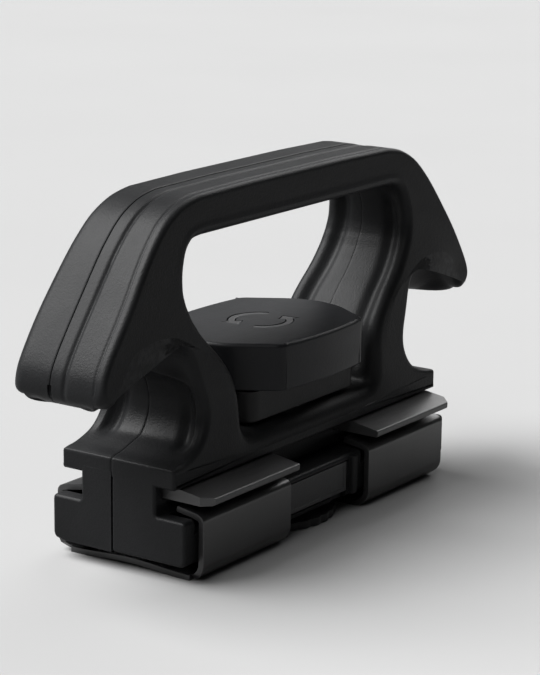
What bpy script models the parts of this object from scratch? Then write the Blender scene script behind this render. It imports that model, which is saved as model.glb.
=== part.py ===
"""Quick-lock track cleat: horned handle on a T-slot base, with a knob that raises a clamp channel."""

import math

import bmesh
import bpy
from mathutils import Matrix, Vector

MM = 0.001
GAP = 0.3                    # clearance between neighbouring pieces
# base block and T-slot
BASE_L = 52.5                # half length of the base along X
BLOCK_Y = 17.7               # half depth of the lower block
BLOCK_Z = 10.0
NECK_Y = 9.9                 # half depth of the neck between the grooves
SLOT_Z = 16.4                # underside of the upper part
RELIEF_Z = 6.8               # lowered top of the block under the clamp lips
FLOOR_Z = 22.5               # knob pocket floor
# handle
TOP_Z = 76.5
BAR_LOW_Z = 67.5
DEPTH_TOP = 10.2             # half depth at the top bar
DEPTH_BASE = 15.0            # half depth where the legs meet the base
DRAFT = 0.085                # growth of the half depth per mm down the handle
SEAM_Y = 1.7                 # parting plane between the front and the rear moulding
# knob
CAP_Z0, CAP_Z1 = 30.5, 41.0
SKIRT_Z0 = 23.3
SPINDLE_R = 4.9
# clamp
CLIP_X0, CLIP_X1 = 15.9, 48.5
JAW_X1 = 49.6
CLIP_Y = 18.95               # middle of the side wall sheet
SHEET = 1.3
CLIP_LOW = -3.35             # middle of the sheet at the lowest part of the clip floor
FOOT_Z = -3.9                # underside of the bottom cap, level with the underside of the clips
BOW = 0.75                   # rise of the clip floor at its middle
CORNER_R = 3.6
CARRIER_Z0, CARRIER_Z1 = -1.7, 0.6
# cavity
CAVITY_R = 8.3
CAVITY_X, CAVITY_Y = 13.9, 5.2
CAVITY_TOP = 17.5
CAM_LOW, CAM_HIGH = 5.8, 7.8
FOOT_ANGLE = 12.0            # half of the angle that a yoke foot covers on the cam, degrees

STATIONS = [
    # outer x, outer z, outer rounding, inner x, inner z, inner rounding (right half, top to bottom)
    (0.0, TOP_Z, 2.3, 0.0, BAR_LOW_Z, 2.0),
    (18.0, TOP_Z, 2.3, 18.0, BAR_LOW_Z, 2.0),
    (36.8, 76.2, 2.4, 36.4, BAR_LOW_Z, 2.0),
    (46.6, 73.5, 2.6, 41.3, 66.1, 2.0),
    (54.0, 67.6, 2.8, 43.5, 62.0, 2.0),
    (62.4, 57.2, 3.0, 44.1, 57.6, 2.0),
    (70.1, 46.8, 3.2, 43.5, 54.6, 2.0),
    (72.5, 41.6, 3.4, 42.6, 52.6, 2.0),
    (71.7, 37.8, 3.4, 41.7, 50.9, 2.0),
    (68.1, 35.9, 3.6, 40.5, 49.2, 2.0),
    (60.2, 37.0, 7.8, 39.0, 47.3, 2.0),
    (53.4, 38.6, 9.2, 37.0, 45.2, 2.0),
    (47.6, 38.6, 8.8, 34.4, 42.8, 2.0),
    (43.0, 36.2, 6.0, 31.6, 39.8, 2.0),
    (40.3, 32.0, 3.0, 29.0, 36.4, 2.0),
    (40.6, 27.8, 2.2, 27.4, 32.0, 2.0),
    (43.3, 23.9, 2.0, 26.8, 27.6, 2.2),
    (48.0, 21.8, 1.6, 26.0, 24.2, 2.6),
    (51.6, 21.0, 1.0, 24.4, 22.9, 3.0),
    (BASE_L, 20.2, 0.8, 20.6, FLOOR_Z, 3.0),
    (BASE_L, SLOT_Z + 0.5, 0.8, 17.0, FLOOR_Z, 3.0),
    (52.0, SLOT_Z, 0.5, 14.0, FLOOR_Z, 3.0),
    (26.0, SLOT_Z, 0.5, 9.0, FLOOR_Z, 3.0),
    (0.0, SLOT_Z, 0.5, 0.0, FLOOR_Z, 3.0),
]
PER_SPAN = 2                 # loft sections between two stations


def clear_scene():
    for obj in list(bpy.data.objects):
        bpy.data.objects.remove(obj)


def collection(name, hidden=False):
    made = bpy.data.collections.new(name)
    bpy.context.scene.collection.children.link(made)
    made.hide_render = hidden
    return made


def material(name, colour, roughness, metallic=0.0):
    made = bpy.data.materials.new(name)
    made.use_nodes = True
    shader = made.node_tree.nodes["Principled BSDF"]
    shader.inputs["Base Color"].default_value = (*colour, 1.0)
    shader.inputs["Roughness"].default_value = roughness
    shader.inputs["Metallic"].default_value = metallic
    made.diffuse_color = (*colour, 1.0)
    return made


def add(name, mesh, colour=None, parent=None, smooth=32.0):
    obj = bpy.data.objects.new(name, mesh)
    (CUTTERS if colour is None else PARTS).objects.link(obj)
    if colour is None:
        obj.hide_render = True
        obj.display_type = "WIRE"
    else:
        mesh.materials.append(material(name, *colour))
        mesh.polygons.foreach_set("use_smooth", [True] * len(mesh.polygons))
        mesh.set_sharp_from_angle(angle=math.radians(smooth))
    if parent is not None:
        obj.parent = parent
    return obj


def to_mesh(bm, name, shift=(0, 0, 0)):
    bmesh.ops.translate(bm, vec=Vector(shift), verts=bm.verts)
    bmesh.ops.scale(bm, vec=(MM, MM, MM), verts=bm.verts)
    bmesh.ops.recalc_face_normals(bm, faces=bm.faces)
    mesh = bpy.data.meshes.new(name)
    bm.to_mesh(mesh)
    bm.free()
    return mesh


def box(low, high, edge=0.0):
    bm = bmesh.new()
    bmesh.ops.create_cube(bm, size=1.0)
    size = [b - a for a, b in zip(low, high)]
    middle = [(a + b) / 2 for a, b in zip(low, high)]
    bmesh.ops.scale(bm, vec=size, verts=bm.verts)
    bmesh.ops.translate(bm, vec=middle, verts=bm.verts)
    if edge:
        bevel(bm, edge)
    return bm


def bevel(bm, width, segments=2, keep=30.0, pick=None):
    edges = [e for e in bm.edges if e.calc_face_angle(0.0) > math.radians(keep)]
    if pick is not None:
        edges = [e for e in edges if pick(e)]
    bmesh.ops.bevel(bm, geom=edges, offset=width, segments=segments, profile=0.5, affect="EDGES",
                    clamp_overlap=True)


def cylinder(radius, low, high, sides=32, at=(0, 0), axis="Z", top=None):
    bm = bmesh.new()
    bmesh.ops.create_cone(bm, cap_ends=True, segments=sides, radius1=radius,
                          radius2=radius if top is None else top, depth=high - low)
    bmesh.ops.translate(bm, vec=(0, 0, (low + high) / 2), verts=bm.verts)
    if axis == "Y":
        bmesh.ops.rotate(bm, matrix=Matrix.Rotation(-math.pi / 2, 3, "X"), verts=bm.verts)
        bmesh.ops.translate(bm, vec=(at[0], 0, at[1]), verts=bm.verts)
    elif axis == "X":
        bmesh.ops.rotate(bm, matrix=Matrix.Rotation(math.pi / 2, 3, "Y"), verts=bm.verts)
        bmesh.ops.translate(bm, vec=(0, at[0], at[1]), verts=bm.verts)
    else:
        bmesh.ops.translate(bm, vec=(at[0], at[1], 0), verts=bm.verts)
    return bm


def prism(outline, low, high, plane="XY"):
    """Closed outline pushed through from low to high, across the given plane."""
    place = {"XY": lambda a, b, c: (a, b, c), "YZ": lambda a, b, c: (c, a, b)}[plane]
    bm = bmesh.new()
    face = bm.faces.new([bm.verts.new(place(a, b, low)) for a, b in outline])
    grown = bmesh.ops.extrude_face_region(bm, geom=[face])
    moved = [v for v in grown["geom"] if isinstance(v, bmesh.types.BMVert)]
    bmesh.ops.translate(bm, vec=place(0, 0, high - low), verts=moved)
    bmesh.ops.recalc_face_normals(bm, faces=bm.faces)
    return bm


def profile_mesh(profile, name):
    """Run of (radius, height) points in the XZ plane, top to bottom on its outer side."""
    mesh = bpy.data.meshes.new(name)
    closed = profile[0][0] > 0
    points = [(r * MM, 0, z * MM) for r, z in profile]
    edges = [(k, k + 1) for k in range(len(points) - 1)]
    if closed:
        edges.append((len(points) - 1, 0))
    mesh.from_pydata(points, edges, [])
    return mesh


def spin(obj, sides):
    turn = obj.modifiers.new("turned", "SCREW")
    turn.axis = "Z"
    turn.angle = 2 * math.pi
    turn.steps = turn.render_steps = sides
    turn.use_merge_vertices = True
    turn.merge_threshold = 0.00001
    turn.use_smooth_shade = False
    return obj


def turned(name, profile, sides, colour, parent=None, at=(0, 0, 0), tip=(0, 0, 0)):
    obj = add(name, profile_mesh(profile, name), colour, parent)
    obj.location = Vector(at) * MM
    obj.rotation_euler = tip
    return spin(obj, sides)


def cut(obj, tool, name, operation="DIFFERENCE"):
    if isinstance(tool, bmesh.types.BMesh):
        tool = add(name, to_mesh(tool, name))
    tool.parent = obj.parent
    step = obj.modifiers.new(name, "BOOLEAN")
    step.operation = operation
    step.solver = "EXACT"
    step.object = tool


def smooth_step(value):
    value = min(1.0, max(0.0, value))
    return value * value * (3 - 2 * value)


def depth_at(x, z):
    """Half depth of the handle: deeper toward the base, a little slimmer again at the horn tips."""
    fade = 0.9 * smooth_step((abs(x) - 54.0) / 16.0) * smooth_step((58.0 - z) / 16.0)
    return min(DEPTH_BASE, DEPTH_TOP + DRAFT * (TOP_Z - z)) - fade


def catmull(before, start, end, after, t):
    return [0.5 * (2 * b + (c - a) * t + (2 * a - 5 * b + 4 * c - d) * t * t
                   + (3 * b - a - 3 * c + d) * t ** 3)
            for a, b, c, d in zip(before, start, end, after)]


def loop_stations():
    """Closed run of (outer point, outer rounding, inner point, inner rounding) round the handle."""
    flat = {0, 1, 19, 20, 21, 22}
    half = []
    for k in range(len(STATIONS) - 1):
        row = [STATIONS[max(k - 1, 0)], STATIONS[k], STATIONS[k + 1],
               STATIONS[min(k + 2, len(STATIONS) - 1)]]
        if k in flat:
            row[0], row[3] = row[1], row[2]
        for step in range(PER_SPAN):
            half.append(catmull(*row, step / PER_SPAN))
    half.append(list(STATIONS[-1]))
    left = [[-s[0], s[1], s[2], -s[3], s[4], s[5]] for s in half[-2:0:-1]]
    return half + left


def inward(points, k, side):
    """Unit normal into the material at point k of a closed run."""
    a, b = points[k - 1], points[(k + 1) % len(points)]
    run = Vector((b[0] - a[0], b[1] - a[1])).normalized()
    return Vector((-run[1], run[0])) * side


def section(outer, n_out, r_out, inner, n_in, r_in, band):
    """Half cross-section as (point, depth) pairs, from the inner parting line to the outer one."""
    rows = []
    here = depth_at(*inner)
    for t in (0.0, 0.35, 0.7, 1.0):
        angle = t * math.pi / 2
        point = inner + n_in * r_in * (1 - math.cos(angle))
        rows.append((point, here - r_in + r_in * math.sin(angle)))
    start, end = inner + n_in * r_in, outer + n_out * r_out
    for t in (0.3, 0.65):
        point = start.lerp(end, t)
        rows.append((point, depth_at(*point)))
    reach = min(r_out, 8.0)
    here = depth_at(*end)
    for t in (1.0, 0.7, 0.35, 0.0):
        angle = t * math.pi / 2
        point = outer + n_out * r_out * (1 - math.cos(angle))
        rows.append((point, here - reach + reach * math.sin(angle)))
    flat = here - reach
    for share, sink in ((0.46, 0.0), (0.33, 0.6), (0.20, 0.0)):
        rows.append((outer + n_out * sink * band, max(flat * share, SEAM_Y + 0.6)))
    return rows


def handle_half(side):
    """Front (-1) or rear (+1) moulding of the handle, its legs and the upper part of the base."""
    stations = loop_stations()
    outer = [Vector((s[0], s[1])) for s in stations]
    inner = [Vector((s[3], s[4])) for s in stations]
    parting = side * SEAM_Y + GAP / 2
    bm = bmesh.new()
    rings = []
    for k, s in enumerate(stations):
        n_out, n_in = inward(outer, k, -1), inward(inner, k, 1)
        high = smooth_step((s[1] - 40.0) / 6.0) if abs(s[0]) < 76.0 and s[2] < 2.7 else 0.0
        rows = section(outer[k], n_out, s[2], inner[k], n_in, s[5], high)
        rows = [(inner[k], parting)] + rows + [(outer[k], parting)]
        rings.append([bm.verts.new((point[0], side * depth, point[1])) for point, depth in rows])
    for k, ring in enumerate(rings):
        after = rings[(k + 1) % len(rings)]
        for j in range(len(ring)):
            i = (j + 1) % len(ring)
            bm.faces.new((ring[j], after[j], after[i], ring[i]))
    return bm


def base_half(side):
    """T-slot half: neck, grooves and lower block as one run along X."""
    inside = side * SEAM_Y + GAP / 2
    outline = [(inside, SLOT_Z + 1.4), (NECK_Y, SLOT_Z + 1.4), (NECK_Y, BLOCK_Z + 0.6),
               (NECK_Y + 0.6, BLOCK_Z), (BLOCK_Y - 0.8, BLOCK_Z), (BLOCK_Y, BLOCK_Z - 0.8),
               (BLOCK_Y, 1.2), (BLOCK_Y - 1.2, 0.0), (inside, 0.0)]
    bm = prism([(side * y, z) for y, z in outline], -BASE_L, BASE_L, "YZ")
    bevel(bm, 0.8, 2, 60.0, lambda e: all(abs(abs(v.co.x) - BASE_L) < 1e-4 for v in e.verts)
          and all(abs(v.co.y) > inside + 0.1 for v in e.verts))
    return bm


def body(side, name):
    half = add(name, to_mesh(handle_half(side), name), ((0.030, 0.031, 0.033), 0.52))
    cut(half, base_half(side), name + "_base", "UNION")
    if side < 0:
        cut(half, box((10.5, -18.7, 0.6), (12.7, -15.0, 9.6), 0.3), "front_rib", "UNION")
        cut(half, box((-13.6, -18.9, 1.4), (9.8, -16.9, 8.9)), "label_recess")
        cut(half, box((3.6, -18.8, -1.2), (9.4, -16.2, 2.1)), "label_notch")
    low, high = sorted((side * -4.0, side * 13.2))
    cut(half, box((-46, low, -1), (46, high, CARRIER_Z1 + 0.4)), name + "_carrier_recess")
    low, high = sorted((side * -CAVITY_Y, side * CAVITY_Y))
    cut(half, box((-CAVITY_X, low, -2.0), (CAVITY_X, high, CAVITY_TOP)), name + "_yoke_slot")
    cut(half, cylinder(CAVITY_R, -3.0, CAVITY_TOP, 40), name + "_cam_well")
    cut(half, cylinder(6.6, 17.0, 24.0, 40), name + "_bushing_bore")
    for end in (-1, 1):
        low, high = sorted((side * 10.9, side * 20.0))
        x0, x1 = sorted((end * (CLIP_X0 - 0.6), end * (CLIP_X1 + 0.6)))
        cut(half, box((x0, low, RELIEF_Z), (x1, high, BLOCK_Z + 0.4)), f"{name}_lip_relief_{end}")
        if side < 0:
            x0, x1 = sorted((end * (CLIP_X0 - 0.3), end * (JAW_X1 + 0.3)))
            cut(half, box((x0, -10.4, 13.1), (x1, -8.7, SLOT_Z)), f"{name}_jaw_slot_{end}")
    for number, (x, z) in enumerate(SCREWS):
        cut(half, screw_bore(x, z), f"{name}_screw_bore_{number}")


def screw_bore(x, z):
    """Stepped bore: pilot in the front half, clearance and head seat in the rear half."""
    seat = depth_at(x, z) - 3.3
    profile = [(0, 20.0), (3.0, 20.0), (3.0, seat), (1.55, seat), (1.55, -8.2), (0, -8.2)]
    return turned("screw_bore", profile, 18, None, None, (x, 0, z), (-math.pi / 2, 0.11, 0))


def screw(number, x, z):
    seat = depth_at(x, z) - 3.0
    profile = [(0, seat + 2.2), (2.2, seat + 2.2), (2.6, seat + 1.8), (2.6, seat), (1.25, seat),
               (1.25, -7.2), (0.9, -7.6), (0, -7.6)]
    obj = turned(f"body_screw_{number + 1}", profile, 16, STEEL, None, (x, 0, z),
                 (-math.pi / 2, 0, 0))
    cut(obj, cylinder(1.35, seat + 0.9, seat + 4, 6, (x, z), "Y"), f"screw_socket_{number}")


def jaw(end, name):
    """Fixed jaw strip: tongue in the neck, flat under the upper part, falling toward its lip."""
    x0, x1 = sorted((end * CLIP_X0, end * JAW_X1))
    outline = [(9.0, 16.1), (14.6, 16.1), (21.6, 14.95), (21.9, 14.7), (21.8, 13.6), (21.4, 13.3),
               (10.2, 13.4), (9.0, 13.4)]
    bm = prism([(-y, z) for y, z in outline], x0, x1, "YZ")
    obj = add(name, to_mesh(bm, name), ((0.018, 0.018, 0.019), 0.40))
    tool = box((-3.0, -3.0, 10), (3.0, 3.0, 20))
    bmesh.ops.rotate(tool, matrix=Matrix.Rotation(math.pi / 4, 3, "Z"), verts=tool.verts)
    bmesh.ops.translate(tool, vec=(end * (JAW_X1 + 0.9), -22.8, 0), verts=tool.verts)
    cut(obj, tool, name + "_lead_in")


def clip_run():
    """Middle line of the clamp sheet across the depth: lip, side wall, round corner, bowed floor."""
    half = [(12.6, 11.35), (15.6, 10.85), (CLIP_Y - 1.1, 10.45), (CLIP_Y - 0.35, 10.1),
            (CLIP_Y, 9.3), (CLIP_Y, CORNER_R + CLIP_LOW)]
    for step in range(1, 5):
        angle = math.radians(22.5 * step)
        half.append((CLIP_Y - CORNER_R * (1 - math.cos(angle)),
                     CLIP_LOW + CORNER_R * (1 - math.sin(angle))))
    reach = CLIP_Y - CORNER_R
    for step in (3, 2, 1, 0):
        half.append((reach * step / 4, CLIP_LOW + BOW * (1 - smooth_step(step / 4))))
    return half + [(-y, z) for y, z in half[-2::-1]]


def clip(end, name, parent):
    x0, x1 = sorted((end * CLIP_X0, end * CLIP_X1))
    bm = bmesh.new()
    run = [bm.verts.new((x0, y, z)) for y, z in clip_run()]
    edges = [bm.edges.new(pair) for pair in zip(run, run[1:])]
    grown = bmesh.ops.extrude_edge_only(bm, edges=edges)
    moved = [v for v in grown["geom"] if isinstance(v, bmesh.types.BMVert)]
    bmesh.ops.translate(bm, vec=(x1 - x0, 0, 0), verts=moved)
    obj = add(name, to_mesh(bm, name), ((0.016, 0.016, 0.017), 0.36), parent)
    sheet = obj.modifiers.new("sheet", "SOLIDIFY")
    sheet.thickness = SHEET * MM
    sheet.offset = 0.0
    sheet.use_even_offset = True
    cut(obj, cylinder(18.9, -8, CLIP_LOW + 2.6, 48), name + "_centre_arc")
    for side in (-1, 1):
        corner = box((-2.2, -3, -2.2), (2.2, 3, 2.2))
        bmesh.ops.rotate(corner, matrix=Matrix.Rotation(math.pi / 4, 3, "Y"), verts=corner.verts)
        place = (end * (CLIP_X1 + 1.0), side * 19.0, CLIP_LOW - 1.0)
        bmesh.ops.translate(corner, vec=place, verts=corner.verts)
        cut(obj, corner, f"{name}_corner_{side}")
    for number, x in enumerate(RIVETS):
        cut(obj, cylinder(1.9, -6, 1, 14, (end * x, 0)), f"{name}_hole_{number}")


def cap_outline(long_end, flat_y, corner_x, bulge):
    """Long six-sided outline with slightly bowed sides and blunt rounded ends."""
    points = []
    for step in range(7):
        t = step / 3 - 1
        points.append((corner_x * t, -flat_y - bulge * (1 - t * t)))
    run = [(long_end - 1.6, -flat_y * 0.42), (long_end - 0.35, -flat_y * 0.24),
           (long_end, 0.0), (long_end - 0.35, flat_y * 0.24), (long_end - 1.6, flat_y * 0.42)]
    points += run
    return points + [(-x, -y) for x, y in points]


def knob(parent):
    outline = cap_outline(24.3, 17.1, 16.2, 1.3)
    bm = prism(outline, CAP_Z0, CAP_Z1)
    bevel(bm, 0.7, 2, 50.0, lambda e: abs(e.verts[0].co.z - e.verts[1].co.z) < 1e-4)
    cap = add("knob_cap", to_mesh(bm, "knob_cap"), ((0.034, 0.035, 0.038), 0.45), parent)
    cut(cap, cylinder(SPINDLE_R + GAP, CAP_Z0 - 1, 37.3, 32), "cap_socket")
    for number, turn in enumerate((0, math.pi)):
        cut(cap, arrow(turn, 40.4, 42.0, 0.3), f"cap_arrow_recess_{number}")
        add(f"knob_arrow_{number + 1}", to_mesh(arrow(turn, 40.7, 41.15, 0.0), "arrow"),
            ((0.075, 0.077, 0.080), 0.42), parent)
    skirt = add("knob_skirt", to_mesh(box((-21.2, -12.3, SKIRT_Z0), (21.2, 12.3, CAP_Z0 - GAP)),
                                      "knob_skirt"), ((0.022, 0.022, 0.024), 0.55), parent)
    corners = skirt.modifiers.new("corners", "BEVEL")
    corners.width = 3.6 * MM
    corners.segments = 4
    corners.limit_method = "WEIGHT"
    weights = skirt.data.attributes.new("bevel_weight_edge", "FLOAT", "EDGE")
    for edge in skirt.data.edges:
        a, b = (skirt.data.vertices[i].co for i in edge.vertices)
        weights.data[edge.index].value = 1.0 if abs(a.z - b.z) > MM else 0.0
    cut(skirt, cylinder(SPINDLE_R + GAP, 20, 33, 32), "skirt_bore")
    cut(skirt, cylinder(1.5, -30, 30, 16, (0, 26.6), "X"), "skirt_pin_bore")
    profile = [(0, 37.0), (4.3, 37.0), (SPINDLE_R, 36.5), (SPINDLE_R, 8.6), (3.9, 8.2), (3.9, 3.1),
               (3.2, 2.8), (0, 2.8)]
    spindle = turned("spindle", profile, 32, ((0.42, 0.42, 0.43), 0.30, 0.95), parent)
    cut(spindle, cylinder(1.5, -20, 20, 16, (0, 26.6), "X"), "spindle_pin_bore")
    groove = [(5, 4.15), (5, 3.35), (3.1, 3.35), (3.1, 4.15)]
    cut(spindle, turned("groove", groove, 32, None), "circlip_groove")
    add("knob_cross_pin", to_mesh(cylinder(1.2, -20.8, 20.8, 16, (0, 26.6), "X"), "pin"), STEEL, parent)
    turned("cam_circlip", [(5.3, 4.05), (5.3, 3.45), (3.4, 3.45), (3.4, 4.05)], 24, STEEL, parent)
    add("rotary_cam", to_mesh(cam_ring(), "rotary_cam"), ((0.36, 0.35, 0.33), 0.4, 0.9), parent)


def arrow(turn, low, high, grow):
    """One half of the turn symbol: an arc that ends in an arrow head."""
    outer, inner, points = [], [], []
    for step in range(11):
        angle = math.radians(20 + 118 * step / 10)
        outer.append((6.6, angle, grow + 0.75))
        inner.append((6.6, angle, -grow - 0.75))
    for radius, angle, shift in outer:
        points.append(((radius + shift) * math.cos(angle), (radius + shift) * math.sin(angle)))
    tip = math.radians(165)
    base = math.radians(138)
    points.append(((8.9 + grow) * math.cos(base), (8.9 + grow) * math.sin(base)))
    points.append(((6.6 + grow * 0.5) * math.cos(tip + grow * 0.08),
                   (6.6 + grow * 0.5) * math.sin(tip + grow * 0.08)))
    points.append(((4.3 - grow) * math.cos(base), (4.3 - grow) * math.sin(base)))
    for radius, angle, shift in inner[::-1]:
        points.append(((radius + shift) * math.cos(angle), (radius + shift) * math.sin(angle)))
    spun = [(x * math.cos(turn) - y * math.sin(turn), x * math.sin(turn) + y * math.cos(turn))
            for x, y in points]
    return prism(spun, low, high)


def cam_height(angle):
    """Two ramps up and two down per turn, each kept below the yoke's feet as they follow it."""
    from_lobe = abs(math.degrees(math.asin(math.sin(angle))))
    return CAM_HIGH - (CAM_HIGH - CAM_LOW) * min(1.0, (from_lobe + FOOT_ANGLE) / 90.0)


def cam_ring():
    sides = 48
    bm = bmesh.new()
    rings = []
    for step in range(sides):
        angle = 2 * math.pi * step / sides
        c, s = math.cos(angle), math.sin(angle)
        top = cam_height(angle)
        rings.append([bm.verts.new((r * c, r * s, z))
                      for r, z in ((4.2, 4.4), (7.7, 4.4), (7.7, top), (4.2, top))])
    for step in range(sides):
        here, after = rings[step], rings[(step + 1) % sides]
        for k in range(4):
            j = (k + 1) % 4
            bm.faces.new((here[k], after[k], after[j], here[j]))
    return bm


def carriage(parent):
    yoke = add("lift_yoke", to_mesh(box((-13.4, -4.8, 10.7), (13.4, 4.8, 12.9), 0.5), "lift_yoke"),
               STEEL, parent)
    carrier = add("carrier_bar", to_mesh(box((-44, -12.6, CARRIER_Z0), (44, 12.6, CARRIER_Z1), 0.4),
                                         "carrier_bar"), STEEL, parent)
    for end in (-1, 1):
        x0, x1 = sorted((end * 10.0, end * 13.4))
        cut(yoke, box((x0, -4.8, CARRIER_Z1 + GAP), (x1, 4.8, 12.0)), f"yoke_leg_{end}", "UNION")
        x0, x1 = sorted((end * 5.5, end * 7.5))
        cut(yoke, box((x0, -1.1, CAM_HIGH + GAP), (x1, 1.1, 11.5)), f"yoke_foot_{end}", "UNION")
        cut(yoke, cylinder(1.2, 0, 7.4, 16, (end * 11.7, 0)), f"yoke_thread_{end}")
    cut(yoke, cylinder(7.8, 10.6, 12.8, 32), "yoke_hub", "UNION")
    cut(yoke, cylinder(SPINDLE_R + 0.35, 9, 14, 32), "yoke_bore")
    cut(carrier, cylinder(9.3, -5, 3, 40), "carrier_hole")
    for end, name in ((-1, "left"), (1, "right")):
        cut(carrier, cylinder(1.2, -5, 4, 16, (end * 11.7, 0)), f"carrier_screw_bore_{end}")
        seat = CARRIER_Z0 + 1.3
        cut(carrier, cylinder(2.5, -5, seat, 16, (end * 11.7, 0)), f"carrier_screw_seat_{end}")
        profile = [(0, 7.0), (0.9, 7.0), (0.9, seat - 0.1), (2.2, seat - 0.4), (2.2, CARRIER_Z0 + 0.1),
                   (0, CARRIER_Z0 + 0.1)]
        turned(f"yoke_screw_{name}", profile, 14, STEEL, parent, (end * 11.7, 0, 0))
        clip(end, f"clamp_clip_{name}", parent)
        for number, x in enumerate(RIVETS):
            bore = cylinder(1.9, -5, 4, 14, (end * x, 0))
            cut(carrier, bore, f"carrier_rivet_bore_{end}_{number}")
            head = CLIP_LOW + BOW - SHEET / 2 - 0.2
            profile = [(0, CARRIER_Z1), (1.6, CARRIER_Z1), (1.6, head), (2.9, head), (2.9, head - 0.15),
                       (2.3, head - 0.4), (0, head - 0.4)]
            turned(f"clip_rivet_{name}_{number + 1}", profile, 14, STEEL, parent, (end * x, 0, 0))
    bottom_cap(parent)


def bottom_cap(parent):
    """Round cap between the clips, ribbed on its rim, with its collar in the carrier bar."""
    ribs, low, high = 30, FOOT_Z, CARRIER_Z0 - GAP
    rim = []
    for step in range(2 * ribs):
        angle = math.pi * step / ribs
        radius = 17.6 - 0.45 * (step % 2)
        rim.append((radius * math.cos(angle), radius * math.sin(angle)))
    bm = prism(rim, low, high)
    bevel(bm, 0.5, 1, 60.0, lambda e: all(v.co.z < low + 0.01 for v in e.verts))
    obj = add("ribbed_bottom_cap", to_mesh(bm, "ribbed_bottom_cap"), ((0.030, 0.030, 0.031), 0.5), parent)
    cut(obj, cylinder(9.0, high - 0.5, CARRIER_Z1 - 0.2, 32), "cap_collar", "UNION")
    cut(obj, cylinder(6.2, high - 0.6, 3.0, 24), "cap_hollow")


def spring():
    """Return spring: a wire coil between the yoke and the roof of the cavity."""
    turns, per_turn, radius, low, high = 2.5, 14, 6.6, 13.8, 16.6
    data = bpy.data.curves.new("return_spring", "CURVE")
    data.dimensions = "3D"
    data.bevel_depth = 0.45 * MM
    data.bevel_resolution = 2
    data.use_fill_caps = True
    count = int(turns * per_turn)
    line = data.splines.new("POLY")
    line.points.add(count)
    for step, point in enumerate(line.points):
        angle = 2 * math.pi * step / per_turn
        z = low + (high - low) * step / count
        point.co = (radius * MM * math.cos(angle), radius * MM * math.sin(angle), z * MM, 1)
    data.materials.append(material("return_spring", *STEEL))
    PARTS.objects.link(bpy.data.objects.new("return_spring", data))


STEEL = ((0.32, 0.32, 0.33), 0.38, 0.9)
SCREWS = [(-54.5, 52.5), (54.5, 52.5), (-33.9, 29.2), (33.9, 29.2)]
RIVETS = [25.0, 40.0]

clear_scene()
PARTS = collection("quick_lock_track_cleat")
CUTTERS = collection("cutters", True)

body(-1, "body_front")
body(1, "body_rear")
for index, (sx, sz) in enumerate(SCREWS):
    screw(index, sx, sz)
for x_end, x_name in ((-1, "left"), (1, "right")):
    jaw(x_end, f"jaw_strip_{x_name}")

add("label_blank", to_mesh(box((-13.3, -17.65, 1.7), (9.5, -17.2, 8.6), 0.15), "label_blank"),
    ((0.050, 0.051, 0.053), 0.50))
turned("spindle_bushing", [(6.3, 22.3), (6.3, 17.8), (5.2, 17.8), (5.2, 22.3)], 32,
       ((0.50, 0.42, 0.25), 0.4, 0.8))
turned("thrust_washer", [(10.6, 23.1), (10.6, 22.6), (5.3, 22.6), (5.3, 23.1)], 36,
       ((0.6, 0.6, 0.58), 0.5))

knob_axis = bpy.data.objects.new("knob_axis", None)
clamp_axis = bpy.data.objects.new("clamp_axis", None)
PARTS.objects.link(knob_axis)
PARTS.objects.link(clamp_axis)
knob(knob_axis)
carriage(clamp_axis)
spring()
for piece in list(PARTS.objects) + list(CUTTERS.objects):
    if piece.parent is None:
        piece.location.z -= FOOT_Z * MM
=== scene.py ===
"""Visual model of the quick-lock track cleat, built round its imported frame.

Lengths are in millimetres. Heights are over the underside of the base block, which sits LIFT over the
foot. The object runs along X, its front faces -Y, and the seam of its two mouldings lies at SEAM_Y.
"""

import collections
import math

import bmesh
import bpy
from mathutils import Matrix, Vector


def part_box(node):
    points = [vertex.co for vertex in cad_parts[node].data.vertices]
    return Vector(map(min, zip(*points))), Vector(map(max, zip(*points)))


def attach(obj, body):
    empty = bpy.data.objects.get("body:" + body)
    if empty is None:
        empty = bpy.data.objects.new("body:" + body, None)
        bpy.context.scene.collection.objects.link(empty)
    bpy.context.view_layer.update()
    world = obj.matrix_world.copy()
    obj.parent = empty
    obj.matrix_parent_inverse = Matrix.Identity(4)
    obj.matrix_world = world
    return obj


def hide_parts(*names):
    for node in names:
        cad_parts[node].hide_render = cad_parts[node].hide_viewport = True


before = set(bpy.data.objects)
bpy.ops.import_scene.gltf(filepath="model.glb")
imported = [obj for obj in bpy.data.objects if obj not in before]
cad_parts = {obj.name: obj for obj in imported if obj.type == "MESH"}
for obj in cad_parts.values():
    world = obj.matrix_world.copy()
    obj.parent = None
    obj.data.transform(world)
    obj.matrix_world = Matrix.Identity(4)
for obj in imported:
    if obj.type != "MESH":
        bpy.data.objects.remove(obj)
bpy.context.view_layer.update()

MM = 0.001
X, Y, Z = 0, 1, 2
LIFT = round(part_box("body_front")[0][Z] / MM, 2)


def span(node, axis):
    """Lowest and highest place of a CAD node along one axis."""
    shift = LIFT if axis == Z else 0.0
    return [round(corner[axis] / MM - shift, 2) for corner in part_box(node)]


def middle(node, axis):
    low, high = span(node, axis)
    return round((low + high) / 2, 2)


GAP = 0.3                    # clearance round a piece that moves or is let in

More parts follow.
